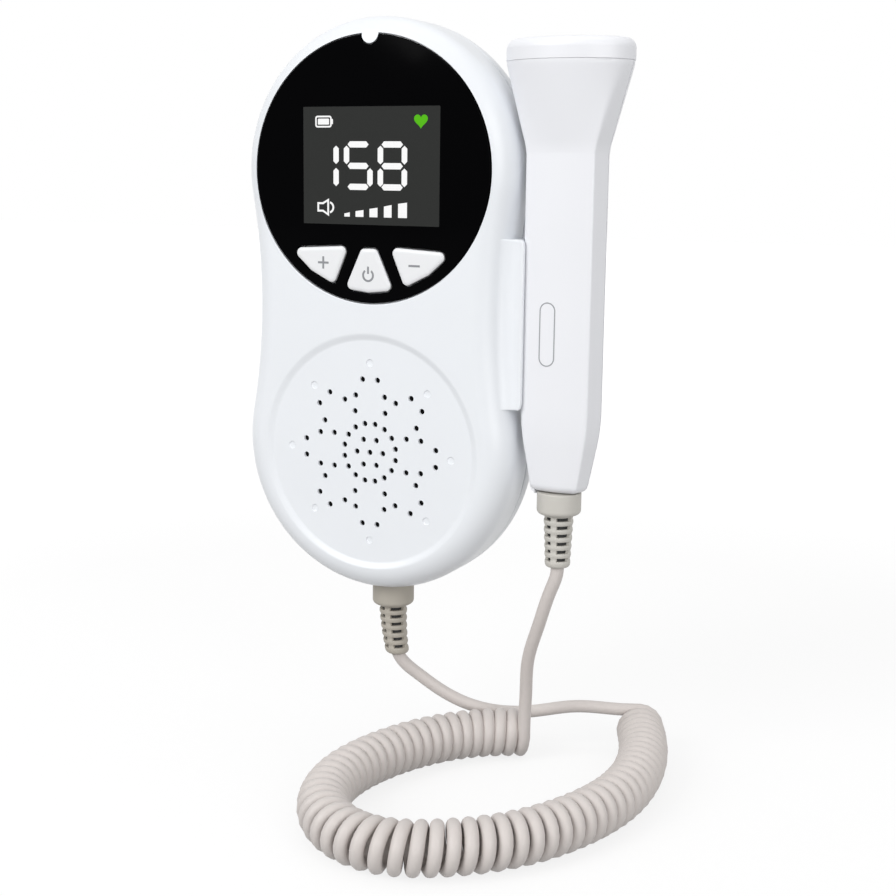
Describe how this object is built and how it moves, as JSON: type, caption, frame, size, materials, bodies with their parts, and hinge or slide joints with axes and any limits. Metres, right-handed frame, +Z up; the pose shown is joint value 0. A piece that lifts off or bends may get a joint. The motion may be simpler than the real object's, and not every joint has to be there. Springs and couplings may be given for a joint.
{
  "type": "fetal doppler monitor",
  "caption": "Pocket fetal doppler: two-lobed unit with round dark display, keys and speaker holes, a probe clipped on its side and a curly cord between them.",
  "frame": {"origin": "on the unit's flat rear face, behind the centre of its round display window", "axes": "+Z up along the unit, +X towards the probe on its side, +Y out of the rear face, so the display faces -Y"},
  "size_m": [0.1089, 0.0986, 0.1801],
  "materials": {
    "white_abs": "semi-gloss moulded white",
    "cap_abs": "semi-gloss moulded white",
    "black_window": "high-gloss black acrylic",
    "lcd_glass": "dark display module",
    "key_plastic": "satin white",
    "grey_cord": "satin grey polyurethane",
    "board_green": "solder mask",
    "switch_black": "matte",
    "steel": "plated",
    "cone_paper": "coated paper",
    "cell_jacket": "printed sleeve",
    "ceramic_disc": "matte",
    "backing_resin": "cast resin"
  },
  "bodies": {
    "main_unit": {"front_cover": "white_abs", "rear_cover": "white_abs", "display_lens": "black_window", "lcd_module": "lcd_glass", "switch_plus": "steel", "switch_power": "steel", "switch_minus": "steel", "main_board": "board_green", "speaker_frame": "steel", "speaker_cone": "cone_paper", "speaker_magnet": "steel", "battery_tray": "white_abs", "battery_left": "cell_jacket", "battery_right": "cell_jacket", "contact_top": "steel", "contact_bottom": "steel", "case_screw_1": "steel", "case_screw_2": "steel", "case_screw_3": "steel", "case_screw_4": "steel", "probe_rail": "white_abs", "boot_body": "grey_cord", "cord_coil": "grey_cord", "cord_tail_probe": "grey_cord", "cord_tail_body": "grey_cord"},
    "key_plus": {"button_plus": "key_plastic", "plunger_plus": "switch_black"},
    "key_power": {"button_power": "key_plastic", "plunger_power": "switch_black"},
    "key_minus": {"button_minus": "key_plastic", "plunger_minus": "switch_black"},
    "door": {"battery_door": "white_abs"},
    "probe": {"probe_front_shell": "white_abs", "probe_rear_shell": "white_abs", "probe_cap": "cap_abs", "slot_channel": "white_abs", "crystal_send": "ceramic_disc", "crystal_receive": "ceramic_disc", "crystal_backing": "backing_resin", "probe_board": "board_green", "boot_probe": "grey_cord"}
  },
  "joints": [
    {"name": "key_plus_press", "type": "slide", "parent": "main_unit", "child": "key_plus", "axis": [0, 1, 0], "range_m": [0, 0.0006], "stiffness_N_per_m": 1500},
    {"name": "key_power_press", "type": "slide", "parent": "main_unit", "child": "key_power", "axis": [0, 1, 0], "range_m": [0, 0.0006], "stiffness_N_per_m": 1500},
    {"name": "key_minus_press", "type": "slide", "parent": "main_unit", "child": "key_minus", "axis": [0, 1, 0], "range_m": [0, 0.0006], "stiffness_N_per_m": 1500},
    {"name": "battery_door_tip", "type": "hinge", "parent": "main_unit", "child": "door", "pos_m": [0, 0, -0.08645], "axis": [-1, 0, 0], "range_deg": [0, 80]},
    {"name": "probe_lift", "type": "slide", "parent": "main_unit", "child": "probe", "axis": [0, 0, 1], "range_m": [0, 0.047]}
  ]
}
